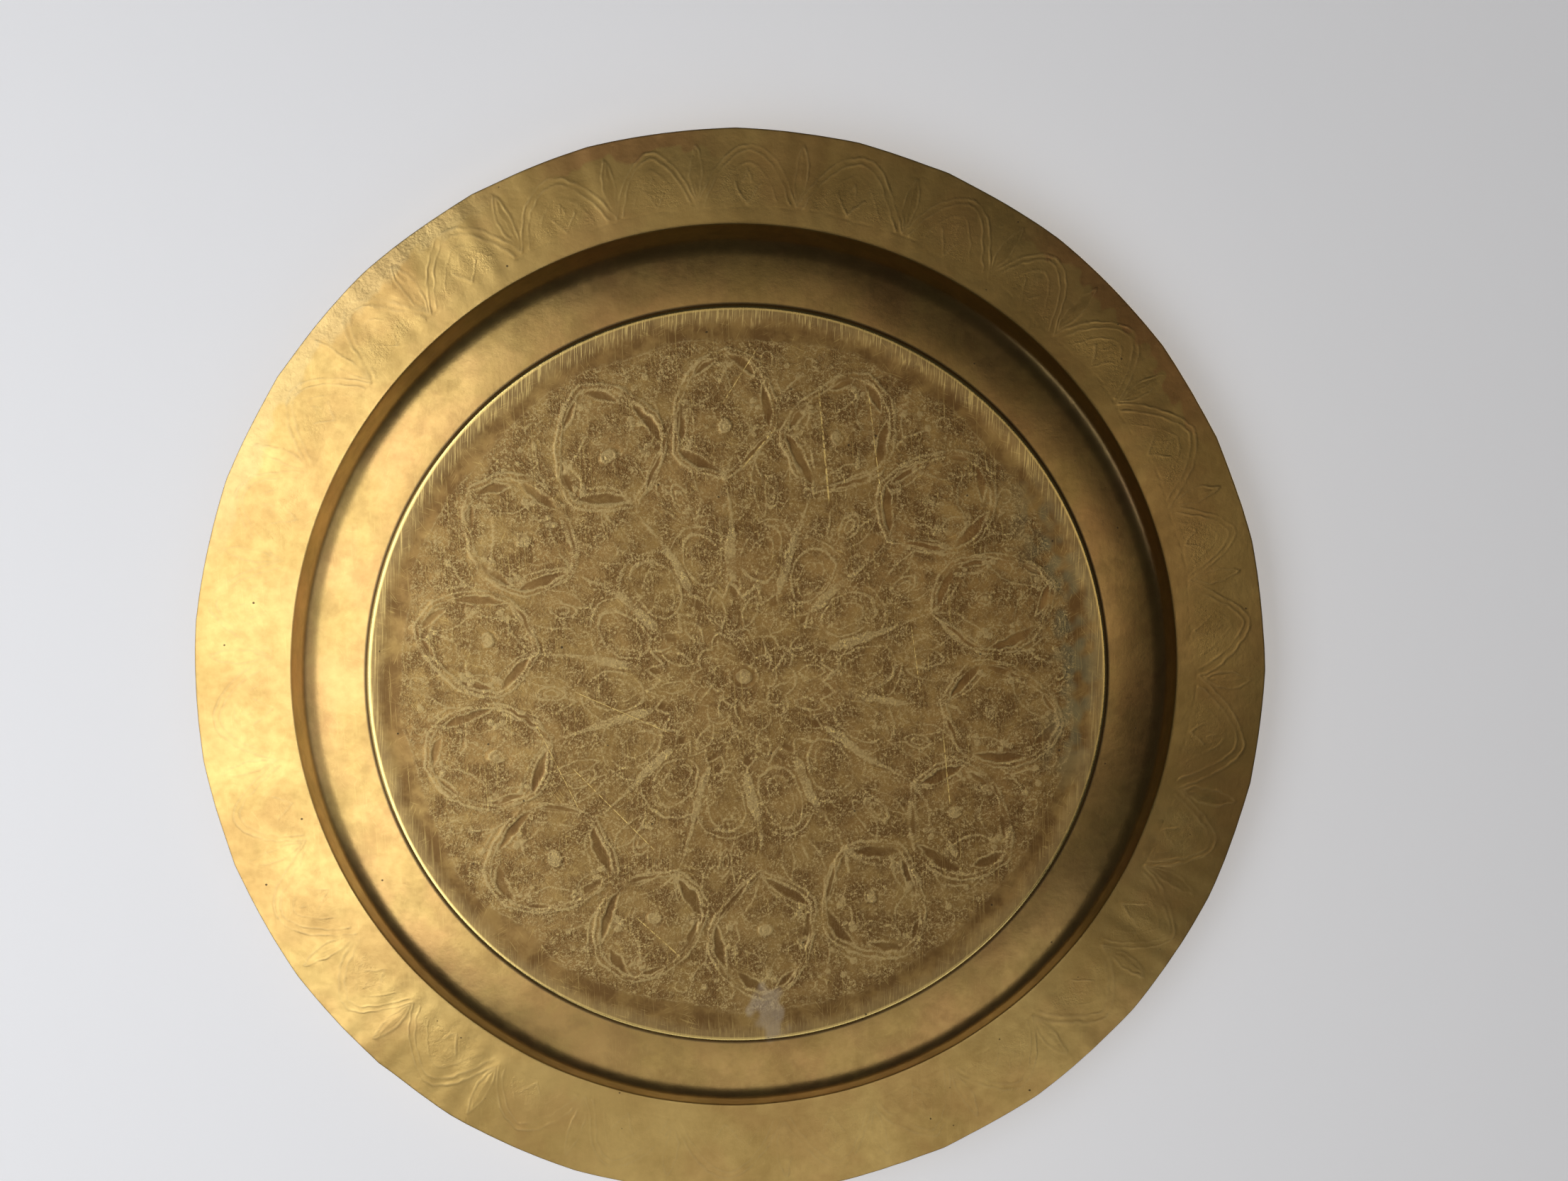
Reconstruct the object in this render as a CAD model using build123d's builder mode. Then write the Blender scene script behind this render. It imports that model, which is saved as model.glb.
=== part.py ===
from build123d import *
from math import cos, radians, sin, tan
import os

# A round serving tray, raised from one disc of sheet brass. It stands on its base with its
# rim up, and the origin is the middle of the underside, where the tray meets the table.

# Driving dimensions, in millimetres and degrees. Radii and runs are those of the underside.
base_diameter = 265.4  # at the crease around the raised base
base_step_height = 1.8  # from the table up to the crease
base_step_slope = 68.0  # of the short step between the base and the crease
band_slope = 3.0  # of the plain band where it leaves the crease
band_run = 21.9  # from the crease out to the corner between the band and the wall
band_rise = 3.0  # over that run, so the band steepens a little on its way out
wall_run = 10.1  # from that corner out to the foot of the rim
wall_height = 15.0  # from that corner up to the foot of the rim
rim_width = 35.3  # from the foot of the rim out to its cut edge
rim_rise = 1.6  # how far the rim climbs from its foot to its edge
sheet_thickness = 1.0
base_edge_radius = 1.6  # around the worn outer edge of the base
crease_radius = 0.5
wall_corner_radius = 12.0  # the wide bend between the band and the wall
rim_foot_radius = 1.0
edge_rounding = 0.25  # where the cut edge was filed smooth

# The corners of the underside's profile, from the base out to the rim, as (radius, height)
crease = (base_diameter / 2, base_step_height)
base_edge = (crease[0] - base_step_height / tan(radians(base_step_slope)), 0)
wall_corner = (crease[0] + band_run, crease[1] + band_rise)
rim_foot = (wall_corner[0] + wall_run, wall_corner[1] + wall_height)
rim_edge = (rim_foot[0] + rim_width, rim_foot[1] + rim_rise)
band_direction = (cos(radians(band_slope)), sin(radians(band_slope)))

os.makedirs("parts", exist_ok=True)


def bend_at(line, corner, radius):
    """Rounds the corner of the open profile that stands at the point named, in the sketch's own X and Y."""
    fillet(line.vertices().sort_by_distance((*corner, 0))[0], radius)


# The sheet: its underside is drawn from the middle to the edge, and the metal lies above it.
# The band leaves the crease almost level and turns up into the wall through a wide bend, and
# the wall meets the rim at a definite corner.
with BuildPart() as tray_sheet:
    with BuildSketch(Plane.XZ):
        with BuildLine() as underside:
            Polyline((0, 0), base_edge, crease)
            TangentArc(crease, wall_corner, tangent=band_direction)
            Polyline(wall_corner, rim_foot, rim_edge)
            bend_at(underside, base_edge, base_edge_radius)
            bend_at(underside, crease, crease_radius)
            bend_at(underside, wall_corner, wall_corner_radius)
            bend_at(underside, rim_foot, rim_foot_radius)
            offset(amount=sheet_thickness, side=Side.LEFT)
        make_face()
    revolve(axis=Axis.Z)
    full_circles = tray_sheet.edges().filter_by(lambda edge: edge.is_closed)
    cut_edge = full_circles.sort_by(SortBy.RADIUS)[-2:]
    fillet(cut_edge, edge_rounding)

tray_sheet.part.label = "tray_sheet"
export_step(tray_sheet.part, "parts/tray_sheet.step")

overall = tray_sheet.part.bounding_box().size
print("overall size", overall.X, overall.Y, overall.Z)
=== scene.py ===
import bpy
import math
import numpy as np
from mathutils import Matrix, Vector


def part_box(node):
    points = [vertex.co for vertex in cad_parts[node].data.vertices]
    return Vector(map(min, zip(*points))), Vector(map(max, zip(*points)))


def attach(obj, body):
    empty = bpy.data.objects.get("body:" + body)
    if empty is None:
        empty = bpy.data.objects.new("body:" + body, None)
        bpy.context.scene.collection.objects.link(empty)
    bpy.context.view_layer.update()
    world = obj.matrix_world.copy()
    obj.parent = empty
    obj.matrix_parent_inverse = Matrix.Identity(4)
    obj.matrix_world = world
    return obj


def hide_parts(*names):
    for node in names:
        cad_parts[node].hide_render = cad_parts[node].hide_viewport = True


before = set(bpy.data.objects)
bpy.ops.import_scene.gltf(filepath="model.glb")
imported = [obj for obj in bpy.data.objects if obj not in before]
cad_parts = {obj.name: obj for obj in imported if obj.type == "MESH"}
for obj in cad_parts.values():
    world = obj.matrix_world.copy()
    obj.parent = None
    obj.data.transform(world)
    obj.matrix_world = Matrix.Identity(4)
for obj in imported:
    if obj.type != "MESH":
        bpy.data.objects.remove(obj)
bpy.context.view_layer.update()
mm = 0.001  # everything below is drawn in millimetres and degrees, and turned into metres at the end
rad = math.radians
sheetLow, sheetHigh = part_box("tray_sheet")
edgeRadius = (sheetHigh.x - sheetLow.x) / 2 / mm
print("frame loaded: tray", round(2 * edgeRadius), "mm across")

# the section of the sheet, the same as the frame's
sheet = {
    "rimWidth": 35.3,  # from the foot of the rim out to its edge
    "wallRun": 10.1,  # from the corner of the band out to the foot of the rim
    "wallHeight": 15.0,
    "bandRun": 21.9,  # from the crease out to that corner
    "bandRise": 3.0,
    "bandSlope": 3.0,  # where it leaves the crease
    "stepHeight": 1.8,  # from the table up to the crease
    "stepSlope": 68.0,
    "rimRise": 1.6,
    "thickness": 1.0,
    "baseEdgeRadius": 1.6,
    "creaseRadius": 0.5,
    "wallCornerRadius": 12.0,
    "rimFootRadius": 1.0,
    "filing": 0.25,  # rounding of the cut edge
    "baseLift": 0.3,  # the middle clears the table by this much, and the shoulder rests on it
    "frontForce": 2.6,  # how much deeper the ornament is on the front, where it was struck
    "rings": 400,  # from the middle to the edge
}
footRadius = edgeRadius - sheet["rimWidth"]
creaseAt = footRadius - sheet["wallRun"] - sheet["bandRun"]


def sheetLegs(s):
    # the underside as a walk outwards from the middle: (length, heading at the end) of each leg
    slope, leaving = rad(s["stepSlope"]), rad(s["bandSlope"])
    rim = math.atan2(s["rimRise"], s["rimWidth"])
    wall = math.atan2(s["wallHeight"], s["wallRun"])
    half = math.atan2(s["bandRise"], s["bandRun"]) - leaving
    bow = math.hypot(s["bandRun"], s["bandRise"]) / (2 * math.sin(half))  # radius of the band's gentle curve
    arriving = leaving + 2 * half
    backEdge = s["baseEdgeRadius"] * math.tan(slope / 2)
    backCrease = s["creaseRadius"] * math.tan((slope - leaving) / 2)
    backCorner = s["wallCornerRadius"] * math.tan((wall - arriving) / 2)
    backFoot = s["rimFootRadius"] * math.tan((wall - rim) / 2)
    bandStart, bandEnd = leaving + backCrease / bow, arriving - backCorner / bow
    return [
        (creaseAt - s["stepHeight"] / math.tan(slope) - backEdge, 0.0),
        (s["baseEdgeRadius"] * slope, slope),
        (s["stepHeight"] / math.sin(slope) - backEdge - backCrease, slope),
        (s["creaseRadius"] * (slope - bandStart), bandStart),
        (bow * (bandEnd - bandStart), bandEnd),
        (s["wallCornerRadius"] * (wall - bandEnd), wall),
        (math.hypot(s["wallRun"], s["wallHeight"]) - backCorner - backFoot, wall),
        (s["rimFootRadius"] * (wall - rim), rim),
        (math.hypot(s["rimWidth"], s["rimRise"]) - backFoot - s["filing"], rim),
    ]


def sheetSection(s):
    # radius, height and heading of the underside, at each ring
    legs = sheetLegs(s)
    ends = np.concatenate([[0], np.cumsum([length for length, heading in legs])])
    turns = [0.0] + [heading for length, heading in legs]
    walked = np.linspace(0, ends[-1], 40001)
    heading = np.interp(walked, ends, turns)
    step, course = np.diff(walked), (heading[1:] + heading[:-1]) / 2
    radius = np.concatenate([[0], np.cumsum(step * np.cos(course))])
    height = np.concatenate([[0], np.cumsum(step * np.sin(course))])
    # rings crowd together where the section bends, and spread out where the sheet is plain
    bend = np.abs(np.gradient(heading, walked))
    plain = (radius > flowers["groundEnd"] + 2) & (radius < arches["foot"] - 2)
    density = np.where(plain, 1.0, 2.1) + 5 * bend
    rings = 1 + s["rings"]
    passed = np.concatenate([[0], np.cumsum(density[1:] * step)])
    places = np.interp(np.linspace(0, passed[-1], rings), passed, walked)
    return [np.interp(places, walked, line) for line in (radius, height, heading)]


def smooth(value, low, high):
    part = np.clip((value - low) / (high - low), 0, 1)
    return part * part * (3 - 2 * part)


def bead(distance, width):
    # a soft line of that full width: 1 along its middle, 0 at its sides
    return np.clip(1 - (2 * distance / width) ** 2, 0, 1) ** 2


def waves(x, y, seed, shortest, longest, count=22):
    # an even, random swell: about -1 to 1
    pick = np.random.default_rng(seed)
    lengths = np.geomspace(shortest, longest, count)
    ways, starts = pick.uniform(0, 2 * np.pi, count), pick.uniform(0, 2 * np.pi, count)
    total = np.zeros_like(x)
    for length, way, start in zip(lengths, ways, starts):
        total += np.sin((x * math.cos(way) + y * math.sin(way)) * 2 * math.pi / length + start)
    return total / math.sqrt(count / 2)


def folded(turn, count, first, uneven, seed):
    # the angle from the nearest of that many repeats, none of them quite in its place
    pitch = 360 / count
    stray = np.random.default_rng(seed).uniform(-uneven, uneven, count)
    real = first + pitch * np.arange(count + 1) + np.append(stray, stray[0])
    even = first + pitch * np.arange(count + 1)
    turned = np.interp((turn - real[0]) % 360 + real[0], real, even) - first
    return (turned + pitch / 2) % pitch - pitch / 2


def fromAxis(u, v, at, lean):
    # (along, across) a line through a point, leaning that far from the radius
    c, s = math.cos(rad(lean)), math.sin(rad(lean))
    du, dv = u - at[0], v - at[1]
    return du * s + dv * c, du * c - dv * s


def almond(u, v, at, length, width, lean=0.0, bow=0.0):
    # depth inside a pointed leaf, less than 0 outside it
    run, across = fromAxis(u, v, at, lean)
    swell = 1 - (2 * run / length) ** 2
    return width / 2 * swell - np.abs(across - bow * swell)


def oval(u, v, at, halfWidth, halfLength):
    # about the depth inside an upright oval, less than 0 outside it
    part = np.hypot((v - at[1]) / halfLength, (u - at[0]) / halfWidth)
    return (1 - part) * math.sqrt(halfWidth * halfLength)


def stroke(u, v, start, end):
    # distance from a straight stroke
    du, dv = end[0] - start[0], end[1] - start[1]
    part = np.clip(((u - start[0]) * du + (v - start[1]) * dv) / (du * du + dv * dv), 0, 1)
    return np.hypot(u - start[0] - part * du, v - start[1] - part * dv)


def smoothLoop(points, sharp, steps=12):
    # a closed curve through the points, with corners only at the sharp ones
    p, curve, t = np.array(points, float), [], np.linspace(0, 1, steps, endpoint=False)[:, None]
    for k, (here, there) in enumerate(zip(p, np.roll(p, -1, axis=0))):
        before = here if k in sharp else p[k - 1]
        after = there if (k + 1) % len(p) in sharp else p[(k + 2) % len(p)]
        second = 2 * before - 5 * here + 4 * there - after
        third = 3 * here - before - 3 * there + after
        curve.append(here + ((there - before) * t + second * t**2 + third * t**3) / 2)
    return np.concatenate(curve)


# the flowers punched into the base; places are (sideways, outwards) with the flower upright
flowers = {
    "count": 14,
    "firstAt": 20.3,
    "uneven": 1.0,
    "line": 1.25,
    "crispLine": 0.72,  # part of that width, on the front
    "lineRise": 0.06,
    # the outline, clockwise from its tip, which a hand drew a little to one side
    "outline": [
        (3.8, 117.2), (13.5, 112.4), (19.6, 103.0), (21.2, 92.0), (17.6, 83.4), (7.6, 75.4),
        (0.4, 71.0), (-9.7, 75.7), (-16.6, 81.6), (-17.4, 89.0), (-15.3, 100.0), (-6.6, 112.4),
    ],
    "corners": (0, 6),
    "middle": (1.8, 94.5),
    "foot": 71.0,
    "doubled": 1.9,  # from one line of the outline to the other
    "ridgeWidth": 4.2,
    "ridgeRise": 0.09,
    "boss": (1.0, 91.8),
    "bossSize": 2.7,
    "bossRise": 0.16,
    "bossRing": 1.4,
    "dimpleAt": 0.7,  # outside the boss
    "dimpleDepth": 0.05,
    # the body's tips, clockwise from its foot, and how far its edge is drawn in before the next one
    "tips": [(0.4, 72.4), (-12.2, 86.6), (-12.2, 97.0), (1.6, 110.2), (13.0, 97.4), (11.6, 87.0)],
    "drawnIn": [2.4, 2.0, 3.4, 3.2, 2.2, 2.2],
    "knobs": [(-1.7, 0.4, 1.25), (1.7, 0.4, 1.1), (0, -1.3, 1.0)],  # (sideways, outwards, size) at a tip
    "bodyRise": 0.05,
    # (place, length, width, lean, bow) of each smooth leaf, clockwise from the upper left
    "leaves": [
        ((-4.6, 110.3), 10.0, 3.6, 53, -0.5), ((7.6, 110.4), 13.0, 3.8, 128, -0.8),
        ((16.5, 95.5), 19.0, 4.2, -4, 0.9), ((11.0, 79.4), 17.0, 3.6, 45, 0.3),
        ((-8.2, 79.2), 19.0, 4.6, -54, 0.0), ((-13.9, 93.0), 13.5, 3.8, 6, -0.6),
    ],
    "leafDepth": 0.06,
    "stem": (2.6, 6.5),  # how far its two halves run, sideways and outwards
    # the ray below the flower: (radius, part of its full width)
    "rayEnd": 35.5,
    "rayWidth": 4.0,
    "rayShape": [(33.5, 0.5), (38.5, 1), (46, 1), (60, 0.45), (71.0, 0.22)],
    # between two flowers, with that gap upright
    "bud": ((0, 67.5), 2.5, 5.0),
    "budRings": [(1.0, 0.9), (0.5, 0.7)],  # (part of its size, strength)
    "budLeaf": ((4.6, 67.5), 17, 4.2, 14),
    "arcAt": 57.6,
    "arcBend": 0.055,
    "arcFrom": 50,
    # (place, half its width, half its length, strength)
    "loops": [((0, 44.8), 7.0, 10.2, 0.8), ((0, 43.8), 4.0, 6.6, 0.5)],
    "sprig": [((0, 99), (0, 105)), ((0, 103), (-4.4, 109.5)), ((0, 103), (4.4, 109.5))],
    "berries": [(-4.6, 110.4), (4.6, 110.4), (0, 113.2)],
    "berrySize": 1.5,
    "curl": (8.6, 114.2),
    "curlSize": 2.3,
    "curlFrom": 112.5,
    # the middle of the base
    "starAt": 31.0,
    "starPoints": 4.6,
    "starLine": 1.7,
    "hollow": ((0, 31.2), 6.5, 3.8),
    "innerLeaf": ((0, 24.8), 10.5, 4.6),
    # (count, first, radius, height, strength, seed) of each row
    "scallops": [(12, 4.0, 15.6, 3.2, 1.0, 7), (9, 12.0, 8.2, 2.8, 0.9, 8)],
    "swirls": 12,
    "twist": 0.09,
    "swirlFrom": 9.5,
    "swirlTo": 17.5,
    "bead": 2.9,
    "beadRise": 0.2,
    "beadRing": 4.6,
    "groundEnd": 120.5,  # beyond it the base is plain
}


def outlineDepth(u, v, f):
    # depth inside a flower's outline, measured towards its middle
    curve = smoothLoop(f["outline"], f["corners"]) - f["middle"]
    bearings = np.degrees(np.arctan2(curve[:, 0], curve[:, 1]))
    reaches = np.hypot(curve[:, 0], curve[:, 1])
    mu, mv = u - f["middle"][0], v - f["middle"][1]
    return np.interp(np.degrees(np.arctan2(mu, mv)), bearings, reaches, period=360) - np.hypot(mu, mv)


def bodyDepth(u, v, f):
    # depth inside a star whose sides are drawn in between its tips
    depth = np.full_like(u, -9.0)
    tips = [(u0 - f["boss"][0], v0 - f["boss"][1]) for u0, v0 in f["tips"]]
    pu, pv = u - f["boss"][0], v - f["boss"][1]
    for (au, av), (bu, bv), sag in zip(tips, tips[1:] + tips[:1], f["drawnIn"]):
        between = (au * pv - av * pu <= 0) & (bu * pv - bv * pu > 0)
        length = math.hypot(bu - au, bv - av)
        du, dv = (bu - au) / length, (bv - av) / length
        run = ((pu - au) * du + (pv - av) * dv) / length
        depth = np.where(between, (pu - au) * dv - (pv - av) * du - 4 * sag * run * (1 - run), depth)
    return depth


def gapStrokes(gu, gv, r, f, line):
    # what is struck between two flowers: a bud and its leaves, an arc, a looped petal, a sprig and two curls
    place, halfWidth, halfLength = f["bud"]
    struck = [
        strength * bead(oval(gu, gv, place, halfWidth * size, halfLength * size), line * 0.9)
        for size, strength in f["budRings"]
    ]
    (leafU, leafV), length, width, lean = f["budLeaf"]
    for side in (-1, 1):
        struck.append(0.6 * bead(almond(gu, gv, (side * leafU, leafV), length, width, side * lean), line * 0.8))
        curl = np.hypot(gu - side * f["curl"][0], gv - f["curl"][1])
        struck.append(0.6 * bead(curl - f["curlSize"], line * 0.8) * (r > f["curlFrom"]))
    struck.append(0.75 * bead(gv - (f["arcAt"] - f["arcBend"] * gu**2), line) * (r > f["arcFrom"]))
    for place, halfWidth, halfLength, strength in f["loops"]:
        struck.append(strength * bead(oval(gu, gv, place, halfWidth, halfLength), line))
    for start, end in f["sprig"]:
        struck.append(0.7 * bead(stroke(gu, gv, start, end), line * 0.9))
    for at in f["berries"]:
        struck.append(0.8 * smooth(f["berrySize"] - np.hypot(gu - at[0], gv - at[1]), 0, 0.8))
    struck.append(0.7 * bead(almond(gu, gv, *f["innerLeaf"]), line))
    return struck


def middleStrokes(r, turn, f, line):
    # the zigzag star and the scalloped rosette in the middle
    half = np.abs(folded(turn, 2 * f["count"], f["firstAt"], 1.2, 6)) / (180 / f["count"] / 2)
    star = (r - f["starAt"] - f["starPoints"] * (0.5 - half)) / f["starLine"]
    struck = [1.1 * bead(star, line * 0.9)]
    for count, first, radius, height, strength, seed in f["scallops"]:
        part = np.abs(folded(turn, count, first, 2.0, seed)) / (180 / count)
        struck.append(strength * bead(r - radius - height * (1 - part**2), line))
    swirl = np.abs(((turn * f["swirls"] / 360 + r * f["twist"]) % 1) - 0.5) * 2 * np.pi * r / f["swirls"]
    kept = smooth(r, f["swirlFrom"], f["swirlFrom"] + 1.5) * smooth(-r, -f["swirlTo"], -f["swirlTo"] + 1.5)
    struck.append(0.9 * bead(swirl, line) * kept)
    struck.append(0.35 * bead(r - f["groundEnd"], line))
    return struck


def flowerStrokes(u, v, outline, depth, f, line):
    # the flower's own lines: its doubled outline, its body with knobs at the tips, its leaves and split stem
    struck = [
        bead(outline, line),
        0.8 * bead(outline - f["doubled"], line * 0.9),
        0.6 * bead(depth, line) * (outline > 1.5),
    ]
    for at, length, width, lean, bow in f["leaves"]:
        struck.append(0.7 * bead(almond(u, v, at, length, width, lean, bow), line * 0.9))
    for tip in f["tips"][1:]:
        lean = math.atan2(tip[0] - f["boss"][0], tip[1] - f["boss"][1])
        for aside, out, size in f["knobs"]:
            ku = tip[0] + aside * math.cos(lean) + out * math.sin(lean)
            kv = tip[1] - aside * math.sin(lean) + out * math.cos(lean)
            struck.append(0.9 * smooth(size - np.hypot(u - ku, v - kv), -0.3, 0.6))
    for side in (-1, 1):
        end = (side * f["stem"][0], f["foot"] + f["stem"][1])
        struck.append(0.7 * bead(stroke(u, v, (0, f["foot"]), end), line))
    return struck


def flowerField(r, turn, f, crisp):
    # height of the chasing under the base, and where it is line, leaf or grained ground
    t = folded(turn, f["count"], f["firstAt"], f["uneven"], 5)
    pitch = 360 / f["count"]
    between = (t + pitch) % pitch - pitch / 2  # the angle from the nearest gap between flowers
    u, v = r * np.sin(np.radians(t)), r * np.cos(np.radians(t))
    gu, gv = r * np.sin(np.radians(between)), r * np.cos(np.radians(between))
    line = f["line"] * (f["crispLine"] if crisp else 1)
    outline, depth = outlineDepth(u, v, f), bodyDepth(u, v, f)
    struck = flowerStrokes(u, v, outline, depth, f, line)
    struck += gapStrokes(gu, gv, r, f, line) + middleStrokes(r, turn, f, line)
    lines = np.maximum.reduce(struck)
    ridge = bead(outline - f["doubled"] / 2, f["ridgeWidth"])
    body = smooth(depth, -0.2, 0.8) * smooth(outline, -0.3, 0.5)
    leaf = smooth(almond(u, v, *f["hollow"]), 0, 0.8)
    for place in f["leaves"]:
        leaf = np.maximum(leaf, smooth(almond(u, v, *place), 0.1, 0.9))
    fromBoss = np.hypot(u - f["boss"][0], v - f["boss"][1])
    boss = smooth(f["bossSize"] - fromBoss, 0, 0.7) - 0.6 * bead(fromBoss - f["bossRing"], line * 0.7)
    dimple = bead(fromBoss - f["bossSize"] - f["dimpleAt"], line)
    middle = smooth(f["bead"] - r, 0, 0.6) + 0.5 * bead(r - f["beadRing"], line)
    # the ray widens towards the middle
    rayHalf = np.interp(r, *zip(*f["rayShape"])) * f["rayWidth"] / 2
    ray = smooth(rayHalf - np.abs(u), 0, 0.7) * smooth(v, f["rayEnd"] - 3, f["rayEnd"])
    ray *= smooth(f["foot"] + 0.5 - v, 0, 1)
    outer = smooth(f["groundEnd"] + 1.5 - r, 0, 3)
    height = f["lineRise"] * np.maximum(lines, 0.8 * ray) + f["bodyRise"] * body + f["ridgeRise"] * ridge
    height += f["bossRise"] * boss + f["beadRise"] * middle - f["dimpleDepth"] * dimple
    return {
        "height": height - f["leafDepth"] * leaf,
        "lines": np.maximum(np.maximum(lines, 0.72 * ray), boss + middle) * outer**0.2,
        "leaf": leaf,
        "grain": outer * smooth(r, 3, 5) * (1 - 0.85 * leaf),
    }


# the pointed arches punched round the rim, with a slim petal over each foot
arches = {
    "count": 30,
    "firstAt": 7.9,
    "uneven": 1.3,
    "foot": 172.6,
    "top": 194.6,
    "curve": 1.75,  # 1 makes straight sides, and more makes them bow
    "gap": 2.4,  # between the two lines of an arch
    "line": 0.95,
    "crispLine": 0.75,  # part of that width, on the front
    "lineRise": 0.08,
    "petalAt": 12.5,  # above the foot
    "petalLength": 21.0,
    "petalWidth": 5.0,
    "petalRise": 0.035,
    # (start, end, strength) of the strokes on each side under a top, as (sideways, above the foot)
    "strokes": [((0, 0.5), (4.4, 7.5), 0.8), ((1.2, 8), (0, 12), 0.5)],
    "scribedAt": 0.8,  # below the foot
    "scribedDepth": 0.03,
}


def archField(r, turn, a, crisp):
    # the same for the rim, where every angle is that from the nearest foot, or from the nearest top
    t = folded(turn, a["count"], a["firstAt"], a["uneven"], 11)
    pitch = 360 / a["count"]
    between = (t + pitch) % pitch - pitch / 2
    u, gu = r * np.radians(t), r * np.radians(between)
    line = a["line"] * (a["crispLine"] if crisp else 1)
    fromTop = np.clip(1 - np.abs(t) / (pitch / 2), 0, 1)
    span = a["top"] - a["foot"]
    rise = a["foot"] + span * (1 - fromTop ** a["curve"])
    pull = span * a["curve"] * fromTop ** (a["curve"] - 1) / (np.radians(pitch / 2) * r)
    away = (r - rise) / np.sqrt(1 + pull**2)
    petal = almond(u, r, (0, a["foot"] + a["petalAt"]), a["petalLength"], a["petalWidth"])
    struck = [
        bead(away, line),
        0.85 * bead(away + a["gap"], line) * (r > a["foot"]),
        0.5 * bead(away + 3 * a["gap"], line) * (r > a["foot"] + 2),
        bead(petal, line),
        0.4 * bead(u, line * 0.7) * (petal > 0),
    ]
    for (startU, startV), (endU, endV), strength in a["strokes"]:
        for side in (-1, 1):
            start, end = (side * startU, a["foot"] + startV), (side * endU, a["foot"] + endV)
            struck.append(strength * bead(stroke(gu, r, start, end), line))
    ends = smooth(r, a["foot"] - 1, a["foot"] + 0.5) * smooth(-r, -a["top"] - 1.5, -a["top"])
    lines = np.maximum.reduce(struck) * ends
    scribed = bead(r - a["foot"] + a["scribedAt"], line * 0.6)
    grain = smooth(-away, 1.5, 6) * smooth(r, a["foot"], a["foot"] + 2)
    grain *= smooth(-r, -a["top"] + 4, -a["foot"] - 8)
    return {
        "height": a["lineRise"] * lines - a["scribedDepth"] * scribed + a["petalRise"] * smooth(petal, 0, 1.5),
        "lines": lines,
        "leaf": 0.4 * smooth(petal, 0, 1),
        "grain": 0.35 * grain,
    }


hand = {
    "stray": 0.75,
    "tremble": 0.16,
    "force": 0.85,
    "forceSwing": 0.35,
    "forceRange": (0.35, 1.35),
}


def chasing(x, y, crisp, h):
    # the ornament as a hand drew it: every line strays a little, and some strokes were struck harder
    sx = x + h["stray"] * waves(x, y, 21, 26, 70) + h["tremble"] * waves(x, y, 22, 4, 9)
    sy = y + h["stray"] * waves(x, y, 23, 26, 70) + h["tremble"] * waves(x, y, 24, 4, 9)
    r, turn = np.hypot(sx, sy), np.degrees(np.arctan2(-sx, sy)) % 360
    field = {key: np.zeros_like(x) for key in ("height", "lines", "grain", "leaf")}
    onBase, onRim = r < creaseAt - 6, r > footRadius + 4
    for near, make, design in ((onBase, flowerField, flowers), (onRim, archField, arches)):
        part = make(r[near], turn[near], design, crisp)
        for key in field:
            field[key][near] = part[key]
    force = np.clip(h["force"] + h["forceSwing"] * waves(x, y, 25, 7, 30), *h["forceRange"])
    field["height"] *= force
    field["lines"] *= np.clip(force, 0, 1)
    return field


# where age has marked the tray; turns are (from, to) in degrees, counted from +Y towards -X
marks = {
    "copperAt": 193.6,  # the radius where the coppery patches begin
    "copperTurns": [(34, 62), (340, 356)],
    "bareAt": 193.0,  # and the bare grey strip
    "bareTurn": (286, 330),
    "bloomAt": 121,  # the middle of the green bloom
    "bloomWidth": 9,
    "bloomTurn": (58, 106),
    "smudgeAt": (-10, -122),
    "smudgeSize": (6, 8),
    "onFront": 0.25,  # how much of all this the front shows
}


def windowed(turn, low, high, soft=4.0):
    return smooth(turn, low - soft, low + soft) * smooth(-turn, -high - soft, -high + soft)


def stains(x, y, m):
    r, turn = np.hypot(x, y), np.degrees(np.arctan2(-x, y)) % 360
    rough = waves(x, y, 31, 5, 40)
    outer = np.maximum.reduce([windowed(turn, *turns) for turns in m["copperTurns"]])
    alongBare = windowed(turn, *m["bareTurn"], 8)
    fromBloom = (r - m["bloomAt"]) / m["bloomWidth"]
    (atX, atY), (sizeX, sizeY) = m["smudgeAt"], m["smudgeSize"]
    fromSmudge = np.hypot((x - atX) / sizeX, (y - atY) / sizeY)
    return {
        "copper": smooth(r + 1.6 * rough, m["copperAt"] - 0.8, m["copperAt"] + 0.8) * outer,
        "bare": smooth(r + 1.2 * rough, m["bareAt"] - 1.5, m["bareAt"] + 1.5) * alongBare,
        "bloom": np.exp(-(fromBloom**2)) * windowed(turn, *m["bloomTurn"], 9) * smooth(rough, -0.9, 0.9),
        "smudge": smooth(0.25 * rough - fromSmudge, -1.2, -0.7),
    }


def discGrid(rings):
    # a square grid drawn round, so that every face has four sides: ring k has 8 k corners
    i, j = np.meshgrid(np.arange(-rings, rings + 1), np.arange(-rings, rings + 1), indexing="ij")
    ring = np.maximum(abs(i), abs(j))
    part = np.maximum(ring, 1)
    sides = [j / part, 2 - i / part, 4 - j / part]
    eighths = np.select([i == ring, j == ring, -i == ring], sides, 6 + i / part)
    index = np.arange(ring.size).reshape(ring.shape)
    faces = np.stack([index[:-1, :-1], index[1:, :-1], index[1:, 1:], index[:-1, 1:]], axis=-1).reshape(-1, 4)
    edge = np.flatnonzero(ring.ravel() == rings)
    edge = edge[np.argsort(eighths.ravel()[edge] % 8)]
    return ring.ravel(), eighths.ravel() * np.pi / 4, faces, edge


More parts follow.
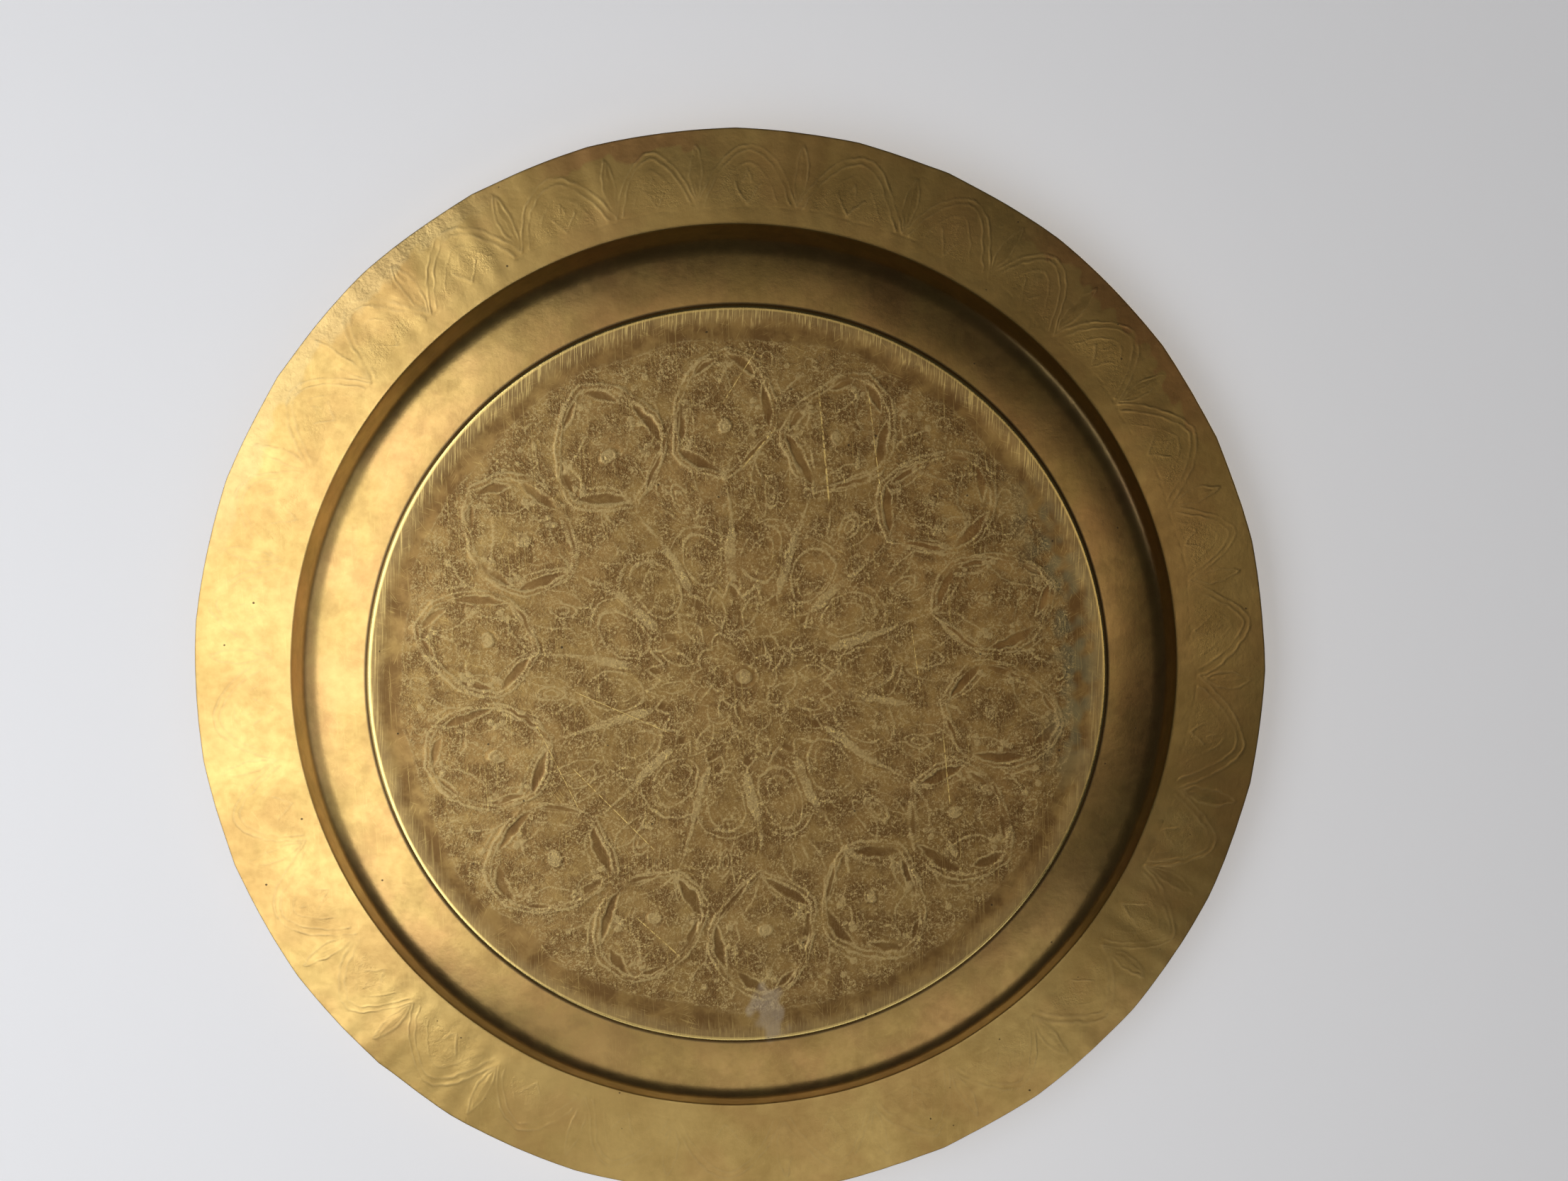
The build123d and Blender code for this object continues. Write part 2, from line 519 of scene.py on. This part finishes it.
wear = {
    "outOfRound": 0.45,  # the edge was cut by hand and has short flats
    "flats": 27,
    "warp": 0.18,
    "warpWaves": [(2, 30, 0.6), (3, 200, 0.4)],  # (count round the tray, start, share)
    "dents": 0.08,
    "planishing": 0.022,  # ripples across the rim from the hammer
}


def handwork(x, y, z, w):
    # what the hammer, the shears and the years did to the sheet as a whole
    r, turn = np.hypot(x, y), np.degrees(np.arctan2(-x, y)) % 360
    t = np.abs(folded(turn, w["flats"], 3.0, 4.0, 41)) / (180 / w["flats"])
    stretch = 1 + w["outOfRound"] / edgeRadius * (t**2 - 0.6) * smooth(r, edgeRadius - 9, edgeRadius)
    rim = smooth(r, creaseAt, edgeRadius)
    lift = np.zeros_like(r)
    for count, start, share in w["warpWaves"]:
        lift += w["warp"] * rim * np.sin(np.radians(count * turn + start)) * share
    lift += w["dents"] * waves(x, y, 42, 28, 90) * smooth(r, creaseAt + 2, creaseAt + 16)
    lift += 0.4 * w["dents"] * waves(x, y, 43, 24, 70) * smooth(-r, -creaseAt + 6, -creaseAt + 26)
    pick = np.random.default_rng(44)
    outwards = smooth(r, footRadius, footRadius + 9)
    for count in range(38, 150, 7):
        phase = pick.uniform(0, 360) + 14 * pick.uniform(-1, 1) * (r - footRadius) / 10
        lift += w["planishing"] / 2.2 * np.sin(np.radians(count * turn + phase)) * outwards
    return x * stretch, y * stretch, z + lift


def cutEdge(s, radius, height, tilt):
    # (radius, height) of each ring round the cut edge, whose two corners are filed round
    filing, start = s["filing"], np.array([radius, height])
    outward = np.array([math.cos(tilt), math.sin(tilt)])
    upward = np.array([-math.sin(tilt), math.cos(tilt)])
    bends = [(filing, a, -1) for a in (30, 60, 90)] + [(s["thickness"] - filing, a, 1) for a in (90, 60, 30)]
    return [
        start + up * upward + filing * (outward * math.sin(rad(a)) + side * upward * math.cos(rad(a)))
        for up, a, side in bends
    ]


def sheetMesh(points, faces):
    mesh = bpy.data.meshes.new("traySheet")
    mesh.vertices.add(len(points))
    mesh.vertices.foreach_set("co", points.astype(np.float32).ravel())
    mesh.loops.add(faces.size)
    mesh.loops.foreach_set("vertex_index", faces.astype(np.int32).ravel())
    mesh.polygons.add(len(faces))
    mesh.polygons.foreach_set("loop_start", np.arange(0, faces.size, 4, dtype=np.int32))
    mesh.update(calc_edges=True)
    mesh.polygons.foreach_set("use_smooth", np.ones(len(faces), dtype=bool))
    return mesh


def buildTray(s):
    radius, height, heading = sheetSection(s)
    ring, angle, faces, edge = discGrid(len(radius) - 1)
    cosine, sine = np.cos(angle), np.sin(angle)
    r, z, tilt = radius[ring], height[ring], heading[ring]
    fields, sides = [], []
    for crisp, away, force in ((False, 0.0, 1.0), (True, s["thickness"], s["frontForce"])):
        field = chasing(r * cosine, r * sine, crisp, hand)
        push = away - force * field["height"]  # along the sheet's own normal, which points up into the tray
        reach = r - push * np.sin(tilt)
        sides.append(np.stack([reach * cosine, reach * sine, z + push * np.cos(tilt)], axis=-1))
        fields.append(field)
    loops = [
        np.stack([place[0] * cosine[edge], place[0] * sine[edge], np.full(len(edge), place[1])], axis=-1)
        for place in cutEdge(s, radius[-1], height[-1], heading[-1])
    ]
    under, top = sides
    points = np.concatenate([under, top] + loops)
    lifted = s["baseLift"] * smooth(-np.hypot(points[:, 0], points[:, 1]), -creaseAt + 2.5, -creaseAt + 9)
    points = np.stack(handwork(points[:, 0], points[:, 1], points[:, 2] + lifted, wear), axis=-1) * mm
    # the strip round the edge, from the underside's last ring to the top's
    n, first = len(edge), len(under) + len(top)
    chain = [edge] + [first + k * n + np.arange(n) for k in range(len(loops))] + [edge + len(under)]
    strips = [np.stack([a, np.roll(a, -1), np.roll(b, -1), b], axis=-1) for a, b in zip(chain, chain[1:])]
    allFaces = np.concatenate([faces[:, ::-1], faces + len(under)] + strips)
    mesh = sheetMesh(points, allFaces)
    # what the finish needs to know about each point, on the underside, on the front and round the edge
    known = {name: (fields[0][name], fields[1][name], 0.0) for name in ("lines", "grain", "leaf")}
    for name, mark in stains(r * cosine, r * sine, marks).items():
        known[name] = (mark, marks["onFront"] * mark, 0.0)
    known["front"] = (np.zeros(len(under)), np.ones(len(top)), 0.5)
    for name, (below, above, around) in known.items():
        values = np.concatenate([below, above, np.full(n * len(loops), around)])
        mesh.attributes.new(name, "FLOAT", "POINT").data.foreach_set("value", values.astype(np.float32))
    places = flatMap(points, allFaces, len(faces), n)
    mesh.uv_layers.new(name="OFBake").data.foreach_set("uv", places.astype(np.float32).ravel())
    mesh.validate()
    made = bpy.data.objects.new("brass_tray", mesh)
    bpy.context.scene.collection.objects.link(made)
    return made


# where the tray's faces lie on the flat map, whose sides are 1 long
discsOnMap = {
    "under": (0.335, 0.315),  # (middle, radius)
    "top": (0.75, 0.245),
    "edge": 0.317,  # radius of the cut edge's ring, round the underside
    "edgeRow": 0.0018,
}


def flatMap(points, allFaces, sideFaces, n):
    # the underside and the top as two discs, with the cut edge as a thin ring round the first
    d = discsOnMap
    flat = points[allFaces][:, :, :2] / (edgeRadius * mm)
    place = np.empty_like(flat)
    place[:sideFaces] = flat[:sideFaces] * d["under"][1] + d["under"][0]
    place[sideFaces:2 * sideFaces] = flat[sideFaces:2 * sideFaces] * d["top"][1] + d["top"][0]
    strip = flat[2 * sideFaces:]
    spread = strip / np.linalg.norm(strip, axis=2, keepdims=True)
    row = (np.arange(len(strip)) // n)[:, None] + np.array([0, 0, 1, 1])[None, :]
    place[2 * sideFaces:] = spread * (d["edge"] + d["edgeRow"] * row)[:, :, None] + d["under"][0]
    return place


class Socket:
    # a shader socket that can be added, multiplied and so on, and the maker of every node
    tree = None

    def __init__(self, link):
        self.link = link

    @classmethod
    def node(cls, kind, settings=None, inputs=None, output=0):
        # a node of that kind, and its output as a socket, if it has one
        made = cls.tree.nodes.new(kind)
        for name, value in (settings or {}).items():
            setattr(made, name, value)
        for name, value in (inputs or {}).items():
            if isinstance(value, Socket):
                cls.tree.links.new(value.link, made.inputs[name])
            else:
                made.inputs[name].default_value = value
        return None if output is None else cls(made.outputs[output])

    def math(self, operation, *others, first=None):
        inputs = (self, *others) if first is None else (first, self)
        return Socket.node("ShaderNodeMath", {"operation": operation}, dict(enumerate(inputs)))

    def __add__(self, other):
        return self.math("ADD", other)

    def __mul__(self, other):
        return self.math("MULTIPLY", other)

    def __sub__(self, other):
        return self.math("SUBTRACT", other)

    def __rsub__(self, other):
        return self.math("SUBTRACT", first=other)

    def __pow__(self, other):
        return self.math("POWER", other)

    __radd__ = __add__
    __rmul__ = __mul__

    def fade(self, low, high, start=0.0, end=1.0):
        # a soft step between two values
        inputs = {"Value": self, "From Min": low, "From Max": high, "To Min": start, "To Max": end}
        return Socket.node("ShaderNodeMapRange", {"interpolation_type": "SMOOTHSTEP"}, inputs)

    def capped(self):
        return Socket.node("ShaderNodeMath", {"operation": "ADD", "use_clamp": True}, {0: self, 1: 0.0})


def mixed(factor, first, second):
    return Socket.node("ShaderNodeMix", {"data_type": "RGBA"}, {0: factor, 6: first, 7: second}, 2)


def emptyFinish(name):
    finish = bpy.data.materials.new(name)
    finish.use_nodes = True
    Socket.tree = finish.node_tree
    finish.node_tree.nodes.clear()
    return finish


def colour(red, green, blue):
    return (red, green, blue, 1.0)


brass = {
    "clean": colour(0.72, 0.505, 0.18),
    "olive": colour(0.49, 0.315, 0.10),
    "brown": colour(0.205, 0.113, 0.04),
    "dusty": colour(0.64, 0.48, 0.215),  # raised lines, dulled but paler than the ground
    "gold": colour(0.98, 0.74, 0.27),  # freshly rubbed metal, and painted highlights
    "copper": colour(0.56, 0.29, 0.115),
    "bloom": colour(0.28, 0.30, 0.18),
    "grey": colour(0.62, 0.52, 0.38),
    "dirt": colour(0.05, 0.032, 0.015),
    "roughness": 0.34,
    # (start, end, width) of each long scratch, in the tray's own X and Y
    "scratches": [
        ((-27.0, 103.9), (-30.9, 62.1), 0.42), ((-44.5, 103.9), (-50.1, 59.3), 0.2),
        ((1.4, 73.3), (-12.5, 90.0), 0.3), ((62, -30), (31, -62), 0.22), ((40, -84), (22, -101), 0.3),
        ((75, -12), (58, -47), 0.18), ((-72, -18), (-75, -47), 0.3), ((-60, 22), (-64, -6), 0.2),
        ((24, -20), (60, -4), 0.18), ((8, 96), (-6, 118), 0.2),
    ],
    # (turn, width, length over width, shift) of the hair scratches that run one way
    "hairs": [(-38, 0.36, 22, 9), (63, 0.34, 16, 12), (24, 0.4, 12, 17), (-72, 0.4, 18, 23)],
}


def brassFinish(b):
    finish = emptyFinish("aged_brass")
    where = Socket.node("ShaderNodeTexCoord", output="Object")
    place = Socket.node("ShaderNodeVectorMath", {"operation": "SCALE"}, {0: where, "Scale": 1 / mm})
    x = Socket.node("ShaderNodeSeparateXYZ", inputs={0: place}, output=0)
    y = Socket.node("ShaderNodeSeparateXYZ", inputs={0: place}, output=1)
    r = (x * x + y * y) ** 0.5

    def given(*names):
        return [Socket.node("ShaderNodeAttribute", {"attribute_name": name}, output="Fac") for name in names]

    def noise(size, detail=3.0, roughness=0.55, long=1.0, turn=0.0, shift=0.0):
        # size is that of the marks, in millimetres, and long is how much longer they are than wide
        inputs = {"Vector": place, "Location": (shift, 2 * shift, 0)}
        inputs |= {"Rotation": (0, 0, rad(turn)), "Scale": (size, size * long, size)}
        moved = Socket.node("ShaderNodeMapping", {"vector_type": "TEXTURE"}, inputs)
        inputs = {"Vector": moved, "Scale": 1.0, "Detail": detail, "Roughness": roughness}
        return Socket.node("ShaderNodeTexNoise", None, inputs)

    def scored(start, end, width):
        # a straight scratch, deeper in some places than in others
        length = math.dist(start, end)
        run = ((end[0] - start[0]) / length, (end[1] - start[1]) / length)
        passed = (x - start[0]) * run[0] + (y - start[1]) * run[1]
        aside = ((x - start[0]) * run[1] - (y - start[1]) * run[0]).math("ABSOLUTE")
        ends = passed.fade(0, 6) * passed.fade(length, length - 3)
        return aside.fade(width, width * 0.35) * ends * dashes

    lines, grain, leaf, front = given("lines", "grain", "leaf", "front")
    copper, bare, bloom, smudge = given("copper", "bare", "bloom", "smudge")
    back = 1 - front
    base = r.fade(creaseAt - 1.5, creaseAt - 2.5)
    rim = r.fade(footRadius - 0.5, footRadius + 0.5)
    wall = (1 - base) * (1 - rim)
    cloud, mottle = noise(30, 4.0, 0.6, shift=70), noise(4.2, 5.0, 0.66, shift=90)
    blotch, dashes = noise(11, 4.0, 0.6, shift=40), noise(1.3, 2.0, 0.6, shift=64).fade(0.36, 0.56)
    speck, grit = noise(0.55, 2.0, 0.6), noise(1.15, 3.0, 0.65, shift=15)
    salt = 0.55 * speck + 0.45 * grit

    # the shoulder that slides on the table, scratched whitish with a ragged inner side
    ragged = r + 9 * (noise(16, 4.0, 0.7, shift=5) - 0.5) + 4 * (noise(0.5, 1.0, long=40, shift=8) - 0.5)
    shoulder = ragged.fade(creaseAt - 8.5, creaseAt - 3.0) * r.fade(creaseAt - 0.2, creaseAt - 1.4)
    sliding = noise(0.40, 1.0, 0.5, long=50, turn=2, shift=7).fade(0.53, 0.66) * y.fade(-70, 70, 0.25, 1.0)
    faint = noise(0.42, 1.0, 0.5, long=60, turn=-3, shift=77).fade(0.60, 0.72) * blotch.fade(0.42, 0.6)
    hairs = 0.5 * faint
    for turn, size, long, shift in b["hairs"]:
        hair = noise(size, 1.0, 0.5, long=long, turn=turn, shift=shift).fade(0.63, 0.74)
        hairs = hairs + 0.5 * hair * noise(12, 2.0, 0.5, shift=shift + 40).fade(0.48, 0.62)
    hairs = hairs * (0.35 + 0.65 * base) * (1 - 0.4 * leaf)
    deep = scored(*b["scratches"][0])
    for scratch in b["scratches"][1:]:
        deep = deep.math("MAXIMUM", scored(*scratch))
    deep = deep * back

    # tarnish in clouds, brown on the base, a warmer brown along the band and wall
    tarnish = (cloud.fade(0.3, 0.7) * 0.6 + mottle.fade(0.3, 0.72) * base.fade(0, 1, 0.22, 0.45)).capped()
    tone = mixed(tarnish, b["clean"], b["olive"])
    warm = noise(34, 3.0, 0.6, shift=130).fade(0.44, 0.62)
    tone = mixed((warm * 0.22 + wall * 0.34 * cloud.fade(0.62, 0.40)).capped(), tone, b["copper"])
    dull = base * (0.5 + 0.45 * blotch.fade(0.36, 0.62)) + 0.22 * wall * blotch.fade(0.42, 0.62)
    tone = mixed((dull * back + 0.12 * front * base).capped(), tone, b["brown"])
    tone = mixed(leaf * back * base * 0.5, tone, b["brown"])
    tone = mixed(copper * 0.65, tone, b["copper"])
    tone = mixed(bloom * 0.5, tone, b["bloom"])

    # raised lines and patches of the ground a little paler, then glints: rubbed bright metal, and painted
    # highlights where facets catch the light
    broken = mottle.fade(0.34, 0.58) * 0.5 + salt.fade(0.44, 0.56) * 0.5
    dusty = lines.fade(0.05, 0.6) * (0.25 + 0.75 * broken) * base.fade(0, 1, 0.3, 1.0)
    # faint curls between the flowers, too worn to follow
    wide = (noise(4.6, 1.0, 0.5, shift=210) - 0.5).math("ABSOLUTE").fade(0.03, 0.008)
    tight = (noise(2.6, 1.0, 0.5, shift=230) - 0.5).math("ABSOLUTE").fade(0.035, 0.01)
    curls = wide * blotch.fade(0.4, 0.55) + tight * blotch.fade(0.56, 0.44)
    peppered = salt.fade(0.49, 0.58) * (0.3 + 0.9 * noise(6.5, 4.0, 0.65, shift=250).fade(0.42, 0.6))
    dusty = dusty + grain * base * (0.4 * curls * broken + 0.72 * peppered)
    dulled = dusty * back + shoulder * back * (0.3 + 0.5 * sliding) + bare * 0.5
    tone = mixed(dulled.capped(), tone, b["dusty"])
    bits = (0.5 * speck + 0.5 * grit).fade(0.55, 0.64) * (0.25 * grain + lines).capped()
    glints = bits * (blotch.fade(0.42, 0.64) + r.fade(62, 34) * 0.5).capped()
    # painted highlight: a pale ring along the base's rounded edge, where it catches the light
    paintedEdgeHighlight = r.fade(creaseAt - 2.6, creaseAt - 1.9) * r.fade(creaseAt - 0.5, creaseAt - 1.0) * 0.9
    # bright metal from wear, scratches and the sliding shoulder, together with the painted glint highlights and
    # the painted edge highlight
    rubbedAndHighlights = glints * back * base + 0.9 * deep + 0.5 * hairs + shoulder * back * (sliding * 0.6 + paintedEdgeHighlight)
    tone = mixed(rubbedAndHighlights.capped(), tone, b["gold"])
    tone = mixed((smudge * (0.3 + 0.4 * speck)).capped(), tone, b["grey"])

    # darker along the crease, dirt in specks, and in the sunk lines of the front
    creaseDarkening = r.fade(creaseAt - 0.4, creaseAt + 0.1) * r.fade(creaseAt + 1.0, creaseAt + 0.3)
    pits = Socket.node("ShaderNodeTexVoronoi", None, {"Vector": place, "Scale": 0.09, "Randomness": 1.0})
    spots = (pits + noise(1.2, shift=55) * 0.06).fade(0.075, 0.055) * 0.8
    sunk = lines.fade(0.12, 0.65) * front * (0.55 + 0.45 * blotch.fade(0.34, 0.6))
    dirtAndCrease = (creaseDarkening * 0.75 + spots + sunk * 0.8).capped()
    tone = mixed(dirtAndCrease, tone, b["dirt"])

    roughness = b["roughness"] + 0.08 * base - 0.04 * wall + 0.14 * (mottle - 0.5)
    roughness = roughness + 0.14 * (dusty * back).capped()
    roughness = roughness + 0.10 * dirtAndCrease + 0.06 * tarnish - 0.06 * leaf - 0.08 * glints - 0.10 * paintedEdgeHighlight * back
    fine = grain * (0.13 * (speck - 0.5) + 0.16 * (grit - 0.5)) * (0.5 + blotch.fade(0.4, 0.62))
    fine = fine + base.fade(0, 1, 0.09, 0.04) * (mottle - 0.5)
    fine = fine - 0.012 * hairs - 0.03 * deep - 0.012 * shoulder * sliding
    fine = fine + bare * 0.14 * (noise(1.6, 2.0, 0.6, shift=33) - 0.5)
    bump = Socket.node("ShaderNodeBump", None, {"Strength": 0.8, "Distance": mm, "Height": fine})
    inputs = {"Base Color": tone, "Metallic": 1 - 0.35 * dirtAndCrease, "Roughness": roughness.capped(), "Normal": bump}
    shader = Socket.node("ShaderNodeBsdfPrincipled", None, inputs)
    Socket.node("ShaderNodeOutputMaterial", None, {"Surface": shader}, None)
    return finish


tray = buildTray(sheet)
tray.data.materials.append(brassFinish(brass))
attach(tray, "root")
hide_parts("tray_sheet")
print("tray made:", len(tray.data.vertices), "points")

# the floor under the tray shows only from above, and the backdrop over it only from below
studio = {
    "floorDrop": 0.25,
    "floorSize": 6000,
    "backdropHeight": 41.0,
    "backdropSize": 1100,
    "paper": colour(0.80, 0.81, 0.84),
    "floorGlow": 0.62,  # of its own, so that it stays pale far from the lamps
    "backdropGlow": 0.34,
}


def paperFinish(tint, glow):
    # seen from its front only, so that it never hides the tray
    finish = emptyFinish("pale_paper")
    where = Socket.node("ShaderNodeTexCoord", output="Object")
    fibre = Socket.node("ShaderNodeTexNoise", None, {"Vector": where, "Scale": 60.0, "Detail": 3.0})
    bump = Socket.node("ShaderNodeBump", None, {"Strength": 0.15, "Distance": mm, "Height": fibre})
    inputs = {"Base Color": tint, "Emission Color": tint, "Emission Strength": glow}
    paper = Socket.node("ShaderNodeBsdfPrincipled", None, inputs | {"Roughness": 0.9, "Normal": bump})
    clear = Socket.node("ShaderNodeBsdfTransparent")
    behind = Socket.node("ShaderNodeNewGeometry", output="Backfacing")
    both = Socket.node("ShaderNodeMixShader", None, {0: behind, 1: paper, 2: clear})
    Socket.node("ShaderNodeOutputMaterial", None, {"Surface": both}, None)
    return finish


def sheetOfPaper(name, height, size, facesUp, finish):
    half = size / 2 * mm
    corners = [(-half, -half), (half, -half), (half, half), (-half, half)]
    if not facesUp:
        corners.reverse()
    mesh = bpy.data.meshes.new(name)
    mesh.from_pydata([(a, b, height * mm) for a, b in corners], [], [(0, 1, 2, 3)])
    mesh.materials.append(finish)
    paper = bpy.data.objects.new(name, mesh)
    bpy.context.scene.collection.objects.link(paper)
    paper.visible_glossy = paper.visible_diffuse = paper.visible_shadow = False


def layPaper(s):
    floorPaper, backdropPaper = (paperFinish(s["paper"], s[glow]) for glow in ("floorGlow", "backdropGlow"))
    sheetOfPaper("floor", -s["floorDrop"], s["floorSize"], True, floorPaper)
    sheetOfPaper("backdrop", s["backdropHeight"], s["backdropSize"], False, backdropPaper)


layPaper(studio)
print("paper laid")

# soft lamps: (place, what it is aimed at, width, height, watts, tint), in millimetres
lamps = {
    "window": ((490, -40, -600), (60, -20, 0), 980, 410, 2.75, (0.94, 0.965, 1.0)),
    "side": ((900, 0, -260), (0, 0, 0), 900, 700, 1.15, (0.96, 0.97, 1.0)),
    "shelf": ((-110, -560, -460), (0, -40, 0), 760, 300, 0.5, (1.0, 0.98, 0.96)),
    "fill": ((-300, 20, -700), (-60, 0, 0), 300, 420, 0.24, (1.0, 0.86, 0.70)),
    "room": ((300, -40, -1200), (0, 0, 0), 1350, 1350, 2.3, (1.0, 0.89, 0.76)),
    "ceiling": ((300, -500, 1100), (0, 0, 0), 1300, 1300, 11, (1.0, 0.99, 0.97)),
    "skylight": ((-900, 500, 700), (0, 0, 0), 700, 900, 5, (0.93, 0.96, 1.0)),
}


def hangLamp(name, at, towards, width, height, watts, tint):
    lamp = bpy.data.lights.new(name, "AREA")
    lamp.shape, lamp.size, lamp.size_y = "RECTANGLE", width * mm, height * mm
    lamp.energy, lamp.color = watts, tint
    stand = bpy.data.objects.new(name, lamp)
    stand.location = Vector(at) * mm
    stand.rotation_euler = (Vector(towards) - Vector(at)).to_track_quat("-Z", "Y").to_euler()
    bpy.context.scene.collection.objects.link(stand)


for name, (at, towards, width, height, watts, tint) in lamps.items():
    hangLamp(name, at, towards, width, height, watts, tint)

# what lies beyond the lamps: (tint, strength) as the camera sees it, and as it lights the tray
room = {
    "seen": (colour(0.86, 0.87, 0.9), 0.9),
    "light": (colour(0.9, 0.86, 0.8), 0.025),
}


def roomAround(around):
    world = bpy.data.worlds.new("room")
    world.use_nodes = True
    Socket.tree = world.node_tree
    world.node_tree.nodes.clear()
    byCamera = Socket.node("ShaderNodeLightPath", output="Is Camera Ray")
    seen, light = (
        Socket.node("ShaderNodeBackground", None, dict(zip(("Color", "Strength"), around[name])))
        for name in ("seen", "light")
    )
    sky = Socket.node("ShaderNodeMixShader", None, {0: byCamera, 1: light, 2: seen})
    Socket.node("ShaderNodeOutputWorld", None, {"Surface": sky}, None)
    return world


bpy.context.scene.world = roomAround(room)
bpy.context.scene.view_settings.view_transform = "Standard"
print("studio lit")

# the camera looks up at the underside, almost square on
view = {
    "place": (5.8, 52.6, -418.7),
    "towards": (-0.0491, -0.0499, 0.9975),
    "lens": 27.08,
    "sensor": 36.0,
    "nearest": 10,
}


def placeCamera(v):
    camera = bpy.data.objects.new("camera", bpy.data.cameras.new("camera"))
    camera.data.lens, camera.data.sensor_width = v["lens"], v["sensor"]
    camera.data.clip_start = v["nearest"] * mm
    ahead = Vector(v["towards"]).normalized()
    right = ahead.cross(Vector((0, 1, 0))).normalized()
    turned = Matrix((right, right.cross(ahead), -ahead)).transposed().to_4x4()
    camera.matrix_world = Matrix.Translation(Vector(v["place"]) * mm) @ turned
    bpy.context.scene.collection.objects.link(camera)
    return camera


bpy.context.scene.camera = placeCamera(view)
print("camera set")
